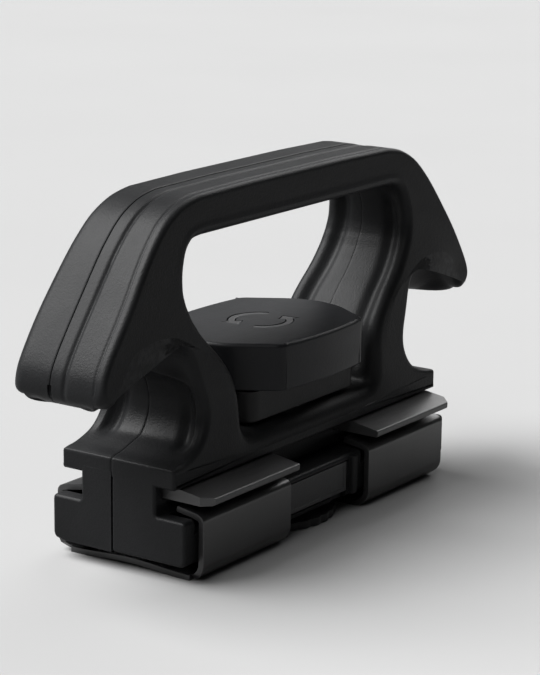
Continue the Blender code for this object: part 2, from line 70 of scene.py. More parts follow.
# base block and handle
BASE_L = 52.5                # half length of the base
BLOCK_Y = span("body_rear", Y)[1]
BLOCK_Z = 10.0               # top of the wide lower block
NECK_Y = 9.9                 # half width of the neck between block and shell
SLOT_Z = 16.4                # underside of the shell, over the track slots
RELIEF_Z = 6.8               # floor of the cuts that the clips sink into
FLOOR_Z = 22.5               # floor of the knob's pocket
TOP_Z = span("body_front", Z)[1]
BAR_LOW_Z = 67.5             # underside of the handle's bar
DEPTH_TOP = 10.2             # half depth of the handle at its top
DEPTH_BASE = 15.0            # and the most it grows to
DRAFT = 0.085                # growth of the half depth per mm of height
HORN_THIN = 0.9              # half depth lost at the tip of a horn
HORN_THIN_X, HORN_THIN_Z = 54.0, 58.0   # it is lost outwards of this X and below this height
HORN_THIN_RUN = 16.0
SEAM_Y = 1.7
SEAM_GAP = 0.07
END_SHORT = 0.03             # how much shorter the shell's ends are than the block's
BLOCK_TOP_Z = SLOT_Z + 1.4   # the block runs up into the shell this far
END_ROUND = 1.1              # rounding of the block's end faces
TIP_NOTCH_X, TIP_NOTCH_Z = (71.9, 74.0), (37.8, 41.0)
TIP_NOTCH_Y = 0.5            # to each side of the seam

# what passes through the base
CAVITY_R = 8.3               # round the cam
CAVITY_X, CAVITY_Y = 13.9, 5.2   # round the arms of the yoke
CAVITY_TOP = 17.5
CHANNEL_X = span("carrier_bar", X)[1] + 2.0
CHANNEL_Y = span("carrier_bar", Y)[1] + 2 * GAP
CARRIER_Z0, CARRIER_Z1 = span("carrier_bar", Z)
BUSHING_R = span("spindle_bushing", X)[1]
SCREWS = [(middle(f"body_screw_{k}", X), middle(f"body_screw_{k}", Z)) for k in (1, 2, 3, 4)]
SCREW_TIP_Y = span("body_screw_1", Y)[0]
SCREW_R = 1.55
SCREW_HEAD_R = 3.0
SCREW_SUNK = 3.3             # depth of the seat under a screw's head

# front face of the base
LABEL_X, LABEL_Y, LABEL_Z = (span("label_blank", axis) for axis in (X, Y, Z))
RIB_X = (10.5, 12.7)         # upright rib beside the label
RIB_Y = (span("body_front", Y)[0], -15.0)
RIB_Z = (0.6, 9.6)
RIB_ROUND = 0.35
NOTCH_X, NOTCH_Z = (3.6, 9.4), (-1.2, 2.1)   # notch in the lower edge, under the label
NOTCH_Y = -16.2

# knob
CAP_Z0, CAP_Z1 = span("knob_cap", Z)
CAP_X, CAP_Y = span("knob_cap", X)[1], span("knob_cap", Y)[1]
CAP_CORNER_X = 16.2          # where the long sides of the cap end
CAP_BULGE = 1.3              # how far the long sides bow out
SKIRT_Z0 = span("knob_skirt", Z)[0]
SKIRT_X, SKIRT_Y = span("knob_skirt", X)[1], span("knob_skirt", Y)[1]
SKIRT_CORNER_R = 3.6
SPINDLE_R = span("spindle", X)[1]
SPINDLE_TOP = span("spindle", Z)[1]
PIN_Z = middle("knob_cross_pin", Z)
PIN_R = span("knob_cross_pin", Y)[1]
ARROW_SUNK = 0.05            # top of an arrow under the top of the cap
ARROW_THICK = 0.5

# clamp
CLIP_X0, CLIP_X1 = span("clamp_clip_right", X)
SHEET = 1.3                  # thickness of a clip's sheet
CLIP_Y = span("clamp_clip_right", Y)[1] - SHEET / 2   # middle of the sheet in an upright wall
CLIP_LOW = -3.35             # middle of the sheet in the floor, at the corners
BOW = 0.75                   # how far the floor of a clip bows up in the middle
CORNER_R = 3.6               # round the lower corners of a clip
BEND_R, BEND_Z = 1.0, 9.3    # round the upper bends, and the height of their centres
TONGUE_END = [(12.6, 11.35), (13.6, 11.2), (15.6, 10.85), (17.0, 10.62)]
RIVET_HOLE_R = 1.9
CAP_CLEAR = 1.3              # clearance round the bottom cap
BOSS_R, BOSS_BORE_R = 9.0, 6.2
RIVETS = [middle(f"clip_rivet_right_{k}", X) for k in (1, 2)]
JAW_X1 = span("jaw_strip_right", X)[1]
JAW_Y0, JAW_Y1 = (-y for y in span("jaw_strip_right", Y)[::-1])
JAW_Z0, JAW_Z1 = span("jaw_strip_right", Z)
FOOT_Z = -LIFT
RIBBED_R = span("ribbed_bottom_cap", X)[1]

# The right half of the handle's loop in the XZ plane, from the top of the bar round to the middle of the
# pocket. Each station pairs a place on the outer wall with one on the wall of the opening, and each has a
# lip, the rounding of its edge. keel is how far the outer wall's middle hangs below its two edges, which
# it does under a horn.
Station = collections.namedtuple("Station", "x z lip keel in_x in_z in_lip")
STATIONS = [Station(*row) for row in (
    (0.0, TOP_Z, 2.3, 0.0, 0.0, BAR_LOW_Z, 2.0),
    (18.0, TOP_Z, 2.3, 0.0, 18.0, BAR_LOW_Z, 2.0),
    (36.8, 76.2, 2.4, 0.0, 36.4, BAR_LOW_Z, 2.0),
    (46.6, 73.5, 2.4, 0.0, 41.3, 66.1, 2.0),
    (54.0, 67.6, 2.5, 0.0, 43.5, 62.0, 2.0),
    (62.4, 57.2, 2.5, 0.0, 44.1, 57.6, 2.0),
    (70.1, 46.8, 2.6, 0.0, 43.5, 54.6, 2.0),
    (72.4, 41.6, 2.8, 0.0, 42.6, 52.6, 2.0),
    (71.7, 37.8, 2.8, 0.2, 41.7, 50.9, 2.0),
    (68.1, 35.9, 2.0, 2.4, 40.5, 49.2, 2.0),
    (60.2, 37.5, 1.8, 7.9, 39.0, 47.3, 2.0),
    (53.4, 39.5, 1.6, 7.9, 37.0, 45.2, 2.0),
    (47.4, 40.0, 1.6, 5.6, 34.4, 42.8, 2.0),
    (42.7, 37.2, 1.7, 0.8, 31.6, 39.8, 2.0),
    (40.3, 32.0, 1.8, 0.0, 29.0, 36.4, 2.2),
    (40.6, 27.8, 1.8, 0.0, 27.4, 32.0, 2.4),
    (43.3, 23.9, 1.6, 0.0, 26.8, 27.6, 2.8),
    (48.0, 21.8, 1.4, 0.0, 26.0, 24.2, 3.4),
    (51.6, 21.0, 1.0, 0.0, 24.4, 22.9, 3.8),
    (BASE_L - END_SHORT, 20.2, 0.8, 0.0, 20.6, FLOOR_Z, 4.0),
    (BASE_L - END_SHORT, SLOT_Z + 0.5, 0.8, 0.0, 17.0, FLOOR_Z, 4.0),
    (52.0, SLOT_Z, 0.5, 0.0, 14.0, FLOOR_Z, 4.0),
    (26.0, SLOT_Z, 0.5, 0.0, 9.0, FLOOR_Z, 4.0),
    (0.0, SLOT_Z, 0.5, 0.0, 0.0, FLOOR_Z, 4.0),
)]
STRAIGHT = {0, 1, 19, 20, 21, 22}    # spans that the curve doesn't round into their neighbours
PER_SPAN = 8

# steps along the parts of a cross-section
INNER_STEPS, ROUND_STEPS, FACE_STEPS, FLANK_STEPS, BAND_STEPS = 20, 8, 8, 24, 44


# ---------------------------------------------------------------- mesh helpers
def link(name, data):
    obj = bpy.data.objects.new(name, data)
    bpy.context.scene.collection.objects.link(obj)
    return obj


def to_mesh(bm, name):
    """Turns millimetres over the base into metres over the foot."""
    bmesh.ops.scale(bm, vec=(MM, MM, MM), verts=bm.verts)
    bmesh.ops.translate(bm, vec=(0, 0, LIFT * MM), verts=bm.verts)
    bmesh.ops.recalc_face_normals(bm, faces=bm.faces)
    mesh = bpy.data.meshes.new(name)
    bm.to_mesh(mesh)
    bm.free()
    return mesh


def bevel(bm, width, segments, keep=30.0, pick=None):
    """Rounds the edges that turn by more than keep degrees and that pick accepts."""
    edges = [e for e in bm.edges if e.calc_face_angle(0.0) > math.radians(keep)]
    if pick is not None:
        edges = [e for e in edges if pick(e)]
    bmesh.ops.bevel(bm, geom=edges, offset=width, segments=segments, profile=0.5,
                    affect="EDGES", clamp_overlap=True)


def box(low, high, edge=0.0, segments=2):
    bm = bmesh.new()
    bmesh.ops.create_cube(bm, size=1.0)
    size = [b - a for a, b in zip(low, high)]
    centre = [(a + b) / 2 for a, b in zip(low, high)]
    bmesh.ops.scale(bm, vec=size, verts=bm.verts)
    bmesh.ops.translate(bm, vec=centre, verts=bm.verts)
    if edge:
        bevel(bm, edge, segments)
    return bm


def turned_box(half, low, high, axis, spot):
    """Square bar along an axis, turned by 45 degrees about it and moved to a spot."""
    if axis == "Z":
        bm = box((-half, -half, low), (half, half, high))
    else:
        bm = box((-half, low, -half), (half, high, half))
    bmesh.ops.rotate(bm, matrix=Matrix.Rotation(math.pi / 4, 3, axis), verts=bm.verts)
    bmesh.ops.translate(bm, vec=spot, verts=bm.verts)
    return bm


def cylinder(radius, low, high, sides=48, at=(0, 0), axis="Z"):
    bm = bmesh.new()
    bmesh.ops.create_cone(bm, cap_ends=True, segments=sides, radius1=radius, radius2=radius,
                          depth=high - low)
    bmesh.ops.translate(bm, vec=(0, 0, (low + high) / 2), verts=bm.verts)
    if axis == "X":
        bmesh.ops.rotate(bm, matrix=Matrix.Rotation(math.pi / 2, 3, "Y"), verts=bm.verts)
        bmesh.ops.translate(bm, vec=(0, at[0], at[1]), verts=bm.verts)
    else:
        bmesh.ops.translate(bm, vec=(at[0], at[1], 0), verts=bm.verts)
    return bm


def prism(outline, low, high, plane="XY"):
    """Solid over an outline, upright for XY and along X for YZ."""
    order = {"XY": lambda a, b, c: (a, b, c), "YZ": lambda a, b, c: (c, a, b)}[plane]
    bm = bmesh.new()
    face = bm.faces.new([bm.verts.new(order(a, b, low)) for a, b in outline])
    grown = bmesh.ops.extrude_face_region(bm, geom=[face])
    moved = [v for v in grown["geom"] if isinstance(v, bmesh.types.BMVert)]
    bmesh.ops.translate(bm, vec=order(0, 0, high - low), verts=moved)
    bmesh.ops.recalc_face_normals(bm, faces=bm.faces)
    return bm


def stack_rings(bm, rings, flip=False):
    """Joins each ring of points to the next and fills both ends."""
    for a, b in zip(rings, rings[1:]):
        for k in range(len(a)):
            j = (k + 1) % len(a)
            bm.faces.new((a[k], b[k], b[j], a[j]) if flip else (a[k], a[j], b[j], b[k]))
    bm.faces.new(rings[0] if flip else rings[0][::-1])
    bm.faces.new(rings[-1][::-1] if flip else rings[-1])


def lathe(profile, at, sides=32):
    """Solid of revolution along Y from (radius, y) points that start and end on the axis."""
    bm = bmesh.new()
    rings = []
    for radius, z in profile:
        if radius == 0:
            rings.append([bm.verts.new((0, 0, z))])
            continue
        ring = []
        for k in range(sides):
            angle = 2 * math.pi * k / sides
            ring.append(bm.verts.new((radius * math.cos(angle), radius * math.sin(angle), z)))
        rings.append(ring)
    for a, b in zip(rings, rings[1:]):
        for k in range(sides):
            j = (k + 1) % sides
            if len(a) == 1:
                bm.faces.new((a[0], b[k], b[j]))
            elif len(b) == 1:
                bm.faces.new((a[k], b[0], a[j]))
            else:
                bm.faces.new((a[k], b[k], b[j], a[j]))
    bmesh.ops.rotate(bm, matrix=Matrix.Rotation(-math.pi / 2, 3, "X"), verts=bm.verts)
    bmesh.ops.translate(bm, vec=(at[0], 0, at[1]), verts=bm.verts)
    bmesh.ops.recalc_face_normals(bm, faces=bm.faces)
    return bm


def evaluate(obj):
    """Replaces the object's mesh with what its modifiers make of it."""
    graph = bpy.context.evaluated_depsgraph_get()
    made = bpy.data.meshes.new_from_object(obj.evaluated_get(graph))
    old = obj.data
    obj.modifiers.clear()
    obj.data = made
    bpy.data.meshes.remove(old)


def boolean(obj, tools, operation="DIFFERENCE"):
    for tool in tools:
        cutter = link("tool", to_mesh(tool, "tool"))
        step = obj.modifiers.new("cut", "BOOLEAN")
        step.operation = operation
        step.solver = "EXACT"
        step.object = cutter
        evaluate(obj)
        bpy.data.objects.remove(cutter)


def finish_mesh(obj, angle, soften=0.0):
    """Merges stray points, rounds edges sharper than angle by soften, and sets weighted normals."""
    bm = bmesh.new()
    bm.from_mesh(obj.data)
    bmesh.ops.remove_doubles(bm, verts=bm.verts, dist=1e-7)
    bmesh.ops.dissolve_degenerate(bm, edges=bm.edges, dist=1e-7)
    bm.to_mesh(obj.data)
    bm.free()
    if soften:
        round_off = obj.modifiers.new("soft_edges", "BEVEL")
        round_off.width = soften * MM
        round_off.segments = 2
        round_off.limit_method = "ANGLE"
        round_off.angle_limit = math.radians(angle)
        round_off.harden_normals = False
        round_off.use_clamp_overlap = True
        evaluate(obj)
    mesh = obj.data
    mesh.polygons.foreach_set("use_smooth", [True] * len(mesh.polygons))
    mesh.set_sharp_from_angle(angle=math.radians(angle))
    weigh = obj.modifiers.new("weighted", "WEIGHTED_NORMAL")
    weigh.keep_sharp = True
    weigh.weight = 60
    evaluate(obj)


def place(obj, body, look, node):
    """Gives a finished piece its material and its body, and hides the CAD node that it stands for."""
    obj.data.materials.clear()
    obj.data.materials.append(look)
    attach(obj, body)
    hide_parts(node)


# ---------------------------------------------------------------- curves
def smooth_step(value):
    value = min(1.0, max(0.0, value))
    return value * value * (3 - 2 * value)


def rise(value, start, run):
    """0 up to start, then smoothly up to 1 over run."""
    return smooth_step((value - start) / run)


def fall(value, end, run):
    """1 until run before end, then smoothly down to 0 at end."""
    return smooth_step((end - value) / run)


def bell(value, centre, width):
    return math.exp(-((value - centre) / width) ** 2)


def catmull(before, start, end, after, t):
    return [0.5 * (2 * b + (c - a) * t + (2 * a - 5 * b + 4 * c - d) * t * t
                   + (3 * b - a - 3 * c + d) * t ** 3)
            for a, b, c, d in zip(before, start, end, after)]


# ---------------------------------------------------------------- handle and base halves
# The band is the outer wall above the throats, and a throat is the waist between a horn and the base.
BAND_LOW_Z, BAND_FADE = 37.0, 5.0
FRONT_LIP = 1.25                                          # rounding of the band's front edge
REAR_LIP_MORE = 0.5
BAND_KEEL = 1.0                                           # a keel from here on has no band
THROAT_LOW_Z, THROAT_HIGH_Z, THROAT_FADE = 21.6, 38.5, 3.0
THROAT_X, THROAT_RUN, THROAT_END = 42.0, 4.0, 0.35        # shallower from THROAT_X outwards
THROAT_KEEL = 3.0                                         # a keel from here on has no throat
LEG_LOW_Z, LEG_LOW_FADE, LEG_HIGH_Z, LEG_HIGH_FADE = 24.0, 4.0, 66.0, 6.0

# Lines sunk into a wall: how much, where, how wide. The groove, step and seam are placed by their depth
# from the XZ plane, the rim line from the face, and the hollows from where the rounded edge ends.
GROOVE, GROOVE_AT, GROOVE_WIDE = 0.50, 2.0, 0.55
STEP, STEP_AT, STEP_WIDE = 0.14, 2.3, 0.6
SEAM, SEAM_WIDE = 0.10, 0.16
RIM, RIM_AT, RIM_WIDE = 0.20, 2.45, 0.32
THROAT_SHELF, THROAT_SHELF_AT, THROAT_SHELF_WIDE = 0.9, 0.7, 1.6
THROAT_DIP, THROAT_DIP_AT, THROAT_DIP_WIDE = 0.9, 3.6, 1.3
LEG_SHELF, LEG_SHELF_AT, LEG_SHELF_WIDE = 0.5, 0.4, 1.8
LEG_DIP, LEG_DIP_AT, LEG_DIP_WIDE = 0.8, 3.2, 1.3
LEG_START = 0.8

# The flank under a horn slopes from the face's edge down to the keel. Its width with no keel, its share
# of the half with a full one, the keel that is full, and how far along it the slope starts.
FLANK_LEAST, FLANK_SHARE, FLANK_KEEL, FLANK_START = 0.8, 0.92, 4.0, 0.20


def depth_at(x, z):
    """Depth of the handle's face at a place in the XZ plane, before its edges are rounded."""
    thin = HORN_THIN * rise(abs(x), HORN_THIN_X, HORN_THIN_RUN) * fall(z, HORN_THIN_Z, HORN_THIN_RUN)
    return min(DEPTH_BASE, DEPTH_TOP + DRAFT * (TOP_Z - z)) - thin


def loop_stations():
    """The whole loop: the curve through the stations, then its mirror image back to the start."""
    right = []
    last = len(STATIONS) - 1
    for k in range(last):
        row = [STATIONS[max(k - 1, 0)], STATIONS[k], STATIONS[k + 1], STATIONS[min(k + 2, last)]]
        if k in STRAIGHT:
            row[0], row[3] = row[1], row[2]
        for step in range(PER_SPAN):
            right.append(Station(*catmull(*row, step / PER_SPAN)))
    right.append(STATIONS[-1])
    left = [s._replace(x=-s.x, in_x=-s.in_x) for s in right[-2:0:-1]]
    return right + left


def inward(points, k, side):
    """Unit normal of a closed line at its point k, into the material for the side given."""
    a, b = points[k - 1], points[(k + 1) % len(points)]
    run = Vector((b[0] - a[0], b[1] - a[1])).normalized()
    return Vector((-run[1], run[0])) * side


def inner_wall(s, inner, n_in, parting, reach):
    """Wall of the opening. Along the legs it is hollowed, so that its edge stands up as a lip."""
    leg = rise(s.in_z, LEG_LOW_Z, LEG_LOW_FADE) * fall(s.in_z, LEG_HIGH_Z, LEG_HIGH_FADE)
    rows = []
    for step in range(INNER_STEPS):
        depth = parting + (reach - parting) * step / INNER_STEPS
        back = reach - depth
        hollow = LEG_SHELF * rise(back, LEG_SHELF_AT, LEG_SHELF_WIDE)
        hollow += LEG_DIP * bell(back, LEG_DIP_AT, LEG_DIP_WIDE)
        rows.append((inner + n_in * leg * hollow * rise(back, 0.0, LEG_START), depth))
    return rows


def outer_wall(s, outer, n_out, parting, face, lip, band, front):
    """The flank, then the rest of the outer wall up to the seam, with all that is sunk into it."""
    keel = max(0.0, s.keel)
    reach = face - lip
    full = FLANK_SHARE * (reach - parting)
    wide = FLANK_LEAST + (full - FLANK_LEAST) * rise(keel, 0.0, FLANK_KEEL)
    rows = []
    for step in range(1, FLANK_STEPS + 1):
        t = step / FLANK_STEPS
        raised = 1 - rise(t, FLANK_START, 1 - FLANK_START)
        rows.append((outer + n_out * keel * raised, reach - wide * t))
    edge = reach - wide
    throat = fall(s.z, THROAT_HIGH_Z, THROAT_FADE) * rise(s.z, THROAT_LOW_Z, THROAT_FADE)
    throat *= (fall(abs(s.x), THROAT_X + THROAT_RUN, THROAT_RUN)
               + THROAT_END * rise(abs(s.x), THROAT_X, THROAT_RUN))
    if keel >= THROAT_KEEL:
        throat = 0.0
    for step in range(1, BAND_STEPS + 1):
        depth = edge + (parting - edge) * step / BAND_STEPS
        back = reach - depth
        sink = 0.0
        if front:
            sink += GROOVE * bell(depth, GROOVE_AT, GROOVE_WIDE)
            sink += STEP * fall(depth, STEP_AT, STEP_WIDE)
            sink += RIM * bell(face - depth, RIM_AT, RIM_WIDE)
        sink *= band
        sink += throat * (THROAT_SHELF * rise(back, THROAT_SHELF_AT, THROAT_SHELF_WIDE)
                          + THROAT_DIP * bell(back, THROAT_DIP_AT, THROAT_DIP_WIDE))
        sink += SEAM * bell(depth, parting, SEAM_WIDE)
        rows.append((outer + n_out * sink, depth))
    return rows


def section(s, outer, n_out, inner, n_in, parting, front):
    """Cross-section of one half as (place in XZ, depth): inner wall, face, outer wall."""
    keel = max(0.0, s.keel)
    band = rise(s.z, BAND_LOW_Z, BAND_FADE) if keel < BAND_KEEL else 0.0
    lip = s.lip + (FRONT_LIP - s.lip if front else REAR_LIP_MORE) * band
    inner_face = depth_at(*inner)
    rows = inner_wall(s, inner, n_in, parting, inner_face - s.in_lip)
    for step in range(ROUND_STEPS + 1):
        angle = math.pi / 2 * step / ROUND_STEPS
        rows.append((inner + n_in * s.in_lip * (1 - math.cos(angle)),
                     inner_face - s.in_lip + s.in_lip * math.sin(angle)))
    start = inner + n_in * s.in_lip
    end = outer + n_out * (keel + lip)
    for step in range(1, FACE_STEPS):
        point = start.lerp(end, step / FACE_STEPS)
        rows.append((point, depth_at(*point)))
    face = depth_at(*end)
    for step in range(ROUND_STEPS + 1):
        angle = math.pi / 2 * (ROUND_STEPS - step) / ROUND_STEPS
        rows.append((outer + n_out * (keel + lip * (1 - math.cos(angle))),
                     face - lip + lip * math.sin(angle)))
    return rows + outer_wall(s, outer, n_out, parting, face, lip, band, front)


def handle_half(side):
    """Shell of one half: a closed tube of cross-sections round the opening."""
    stations = loop_stations()
    outer = [Vector((s.x, s.z)) for s in stations]
    inner = [Vector((s.in_x, s.in_z)) for s in stations]
    parting = side * SEAM_Y + SEAM_GAP / 2
    bm = bmesh.new()
    rings = []
    for k, s in enumerate(stations):
        rows = section(s, outer[k], inward(outer, k, -1), inner[k], inward(inner, k, 1),
                       parting, side < 0)
        rings.append([bm.verts.new((point[0], side * depth, point[1])) for point, depth in rows])
    for k, ring in enumerate(rings):
        after = rings[(k + 1) % len(rings)]
        for j in range(len(ring)):
            i = (j + 1) % len(ring)
            bm.faces.new((ring[j], after[j], after[i], ring[i]))
    return bm


def base_half(side):
    """One half of the base block, with a rounded neck foot and rounded long edges."""
    inside = side * SEAM_Y + SEAM_GAP / 2
    outline = [(inside, BLOCK_TOP_Z), (NECK_Y, BLOCK_TOP_Z), (NECK_Y, BLOCK_Z + 0.6),
               (NECK_Y + 0.2, BLOCK_Z + 0.2), (NECK_Y + 0.6, BLOCK_Z), (BLOCK_Y - 1.0, BLOCK_Z),
               (BLOCK_Y - 0.45, BLOCK_Z - 0.12), (BLOCK_Y - 0.12, BLOCK_Z - 0.45),
               (BLOCK_Y, BLOCK_Z - 1.0), (BLOCK_Y, 1.5), (BLOCK_Y - 0.2, 0.75),
               (BLOCK_Y - 0.7, 0.2), (BLOCK_Y - 1.5, 0.0), (inside, 0.0)]
    bm = prism([(side * y, z) for y, z in outline], -BASE_L, BASE_L, "YZ")

    def pick(edge):
        """The edges of an end face. On the rear half the one at the seam stays sharp."""
        return (all(abs(abs(v.co.x) - BASE_L) < 1e-4 for v in edge.verts)
                and all(abs(v.co.y) > inside + 0.1 for v in edge.verts))

    bevel(bm, width=END_ROUND, segments=4, keep=60.0, pick=pick)
    return bm


def label_cuts():
    """Recess for the label, and the notch under it."""
    recess = box((LABEL_X[0] - GAP, RIB_Y[0] - 0.2, LABEL_Z[0] - GAP),
                 (LABEL_X[1] + GAP, LABEL_Y[1] + GAP, LABEL_Z[1] + GAP))
    notch = box((NOTCH_X[0], RIB_Y[0] - 0.1, NOTCH_Z[0]), (NOTCH_X[1], NOTCH_Y, NOTCH_Z[1]))
    return [recess, notch]


def middle_cuts(side):
    """Channel for the carrier bar, cavity for the cam and bore for the bushing."""
    low, high = sorted((side * -4.0, side * CHANNEL_Y))
    channel = box((-CHANNEL_X, low, -1), (CHANNEL_X, high, CARRIER_Z1 + 0.4))
    low, high = sorted((side * -CAVITY_Y, side * CAVITY_Y))
    cavity = box((-CAVITY_X, low, -2.0), (CAVITY_X, high, CAVITY_TOP))
    round_cavity = cylinder(CAVITY_R, -3.0, CAVITY_TOP)
    bore = cylinder(BUSHING_R + GAP, CAVITY_TOP - 0.5, FLOOR_Z + 1.5)
    return [channel, cavity, round_cavity, bore]


def end_cuts(side, end):
    """Relief that a clip sinks into and, on the front, the slot that a jaw strip is let into."""
    low, high = sorted((side * (NECK_Y + 1.0), side * 20.0))
    x0, x1 = sorted((end * (CLIP_X0 - 2 * GAP), end * (CLIP_X1 + 2 * GAP)))
    cuts = [box((x0, low, RELIEF_Z), (x1, high, BLOCK_Z + 0.4))]
    if side < 0:
        x0, x1 = sorted((end * (CLIP_X0 - GAP), end * (JAW_X1 + GAP)))
        cuts.append(box((x0, -NECK_Y - 0.5, JAW_Z0 - 0.2), (x1, -JAW_Y0 + GAP, SLOT_Z)))
    return cuts


def tip_notch(end):
    """Small notch across the seam at the tip of a horn."""
    x0, x1 = sorted(end * x for x in TIP_NOTCH_X)
    low, high = TIP_NOTCH_Z
    return box((x0, SEAM_Y - TIP_NOTCH_Y, low), (x1, SEAM_Y + TIP_NOTCH_Y, high))


def screw_bore(x, z):
    seat = depth_at(x, z) - SCREW_SUNK
    tip = SCREW_TIP_Y - 2 * GAP
    return lathe([(0, 20.0), (SCREW_HEAD_R, 20.0), (SCREW_HEAD_R, seat), (SCREW_R, seat),
                  (SCREW_R, tip), (0, tip)], (x, z))


def body(side, name, look):
    half = link(name + "_shell", to_mesh(handle_half(side), name))
    adds = [base_half(side)]
    cuts = []
    if side < 0:
        low, high = zip(RIB_X, RIB_Y, RIB_Z)
        adds.append(box(low, high, RIB_ROUND, 3))
        cuts += label_cuts()
    cuts += middle_cuts(side) + end_cuts(side, -1) + end_cuts(side, 1)
    cuts += [tip_notch(-1), tip_notch(1)]
    cuts += [screw_bore(x, z) for x, z in SCREWS]
    boolean(half, adds, "UNION")
    boolean(half, cuts)
    finish_mesh(half, 42.0, 0.28)
    place(half, "base", look, name)


# ---------------------------------------------------------------- knob
def cap_outline(steps=12, end_steps=4):
    """Outline of the cap: bowed long sides and blunt, slightly pointed ends."""
    flat_y = CAP_Y - CAP_BULGE
    points = []
    for step in range(2 * steps + 1):
        t = step / steps - 1
        points.append((CAP_CORNER_X * t, -flat_y - CAP_BULGE * (1 - t * t)))
    for step in range(2 * end_steps + 1):
        t = step / end_steps - 1
        points.append((CAP_X - 1.6 * abs(t) ** 1.6, flat_y * 0.42 * t))
    return points + [(-x, -y) for x, y in points]


def rounded_prism(outline, low, high, top_r, side_r, low_r=0.3):
    """Prism with rounded upright corners and rounded rims."""
    bm = prism(outline, low, high)
    upright = [e for e in bm.edges if abs(e.verts[0].co.z - e.verts[1].co.z) > 1
               and e.calc_face_angle(0.0) > math.radians(14)]
    bmesh.ops.bevel(bm, geom=upright, offset=side_r, segments=6, profile=0.5, affect="EDGES",
                    clamp_overlap=False)
    for level, width in ((high, top_r), (low, low_r)):
        rim = [e for e in bm.edges if all(abs(v.co.z - level) < 1e-4 for v in e.verts)
               and e.calc_face_angle(0.0) > math.radians(60)]
        bmesh.ops.bevel(bm, geom=rim, offset=width, segments=5, profile=0.5, affect="EDGES",
                        clamp_overlap=False)
    return bm


def ring_normals(ring):
    """Outward normals of a closed outline that runs anticlockwise."""
    out = []
    for k in range(len(ring)):
        a, b = ring[k - 1], ring[(k + 1) % len(ring)]
        run = Vector((b[0] - a[0], b[1] - a[1])).normalized()
        out.append(Vector((run[1], -run[0])))
    return out


def round_corners(outline, radius, steps):
    """Replaces each corner of a closed outline by a short curve."""
    out = []
    count = len(outline)
    for k in range(count):
        before, here, after = (Vector(outline[(k + d) % count]) for d in (-1, 0, 1))
        a, b = (before - here), (after - here)
        turn = math.pi - a.angle(b)
        reach = min(radius * math.tan(turn / 2), a.length * 0.48, b.length * 0.48)
        start, end = here + a.normalized() * reach, here + b.normalized() * reach
        for step in range(steps + 1):
            t = step / steps
            out.append(start.lerp(here, t).lerp(here.lerp(end, t), t))
    return out


def arrow(turn, low, high, grow=0.0, steps=24):
    """Curved arrow, turned about the knob's axis. grow widens it, for the recess that it lies in."""
    radius, half, head = 6.6, 0.75, 2.3
    first, last, tip = 20, 138, 165
    angles = [math.radians(first + (last - first) * step / steps) for step in range(steps + 1)]

    def at(distance, angle):
        return distance * math.cos(angle), distance * math.sin(angle)

    points = [at(radius + (grow + half), angle) for angle in angles]
    points.append(at(radius + head + grow, angles[-1]))
    points.append(at(radius + grow * 0.5, math.radians(tip) + grow * 0.08))
    points.append(at(radius - head - grow, angles[-1]))
    points += [at(radius - (grow + half), angle) for angle in angles[::-1]]
    spun = [(x * math.cos(turn) - y * math.sin(turn), x * math.sin(turn) + y * math.cos(turn))
            for x, y in points]
    return prism(spun, low, high)


def knob(look, dark, mark):
    turns = (0, math.pi)
    block = rounded_prism(cap_outline(), CAP_Z0, CAP_Z1, top_r=0.9, side_r=1.6)
    cap = link("knob_cap_shell", to_mesh(block, "cap"))
    recess_low = CAP_Z1 - ARROW_SUNK - ARROW_THICK - 0.05
    boolean(cap, [cylinder(SPINDLE_R + GAP, CAP_Z0 - 1, SPINDLE_TOP + GAP)]
            + [arrow(turn, recess_low, CAP_Z1 + 1.0, GAP) for turn in turns])
    finish_mesh(cap, 32.0)
    place(cap, "knob", look, "knob_cap")

    arrow_high = CAP_Z1 - ARROW_SUNK
    for number, turn in enumerate(turns, 1):
        raised = to_mesh(arrow(turn, arrow_high - ARROW_THICK, arrow_high), "arrow")
        piece = link(f"knob_arrow_{number}_shell", raised)
        finish_mesh(piece, 32.0, 0.12)
        place(piece, "knob", mark, f"knob_arrow_{number}")

    corners = [(-SKIRT_X, -SKIRT_Y), (SKIRT_X, -SKIRT_Y), (SKIRT_X, SKIRT_Y), (-SKIRT_X, SKIRT_Y)]
    outline = round_corners(corners, SKIRT_CORNER_R, 10)
    normals = ring_normals(outline)
    bm = bmesh.new()
    rings = []
    for z, shrink in ((SKIRT_Z0, 0.4), (SKIRT_Z0 + 0.15, 0.12), (SKIRT_Z0 + 0.45, 0.0),
                      (SKIRT_Z0 + 1.2, 0.0), (CAP_Z0 - GAP, 0.0)):
        rings.append([bm.verts.new((p[0] - n[0] * shrink, p[1] - n[1] * shrink, z))
                      for p, n in zip(outline, normals)])
    stack_rings(bm, rings)
    skirt = link("knob_skirt_shell", to_mesh(bm, "skirt"))
    boolean(skirt, [cylinder(SPINDLE_R + GAP, 20, 33),
                    cylinder(PIN_R + GAP, -30, 30, 24, (0, PIN_Z), "X")])
    finish_mesh(skirt, 35.0)
    # The skirt's look (dark) is darker than the cap's as painted shade for the shadow under the cap.
    place(skirt, "knob", dark, "knob_skirt")


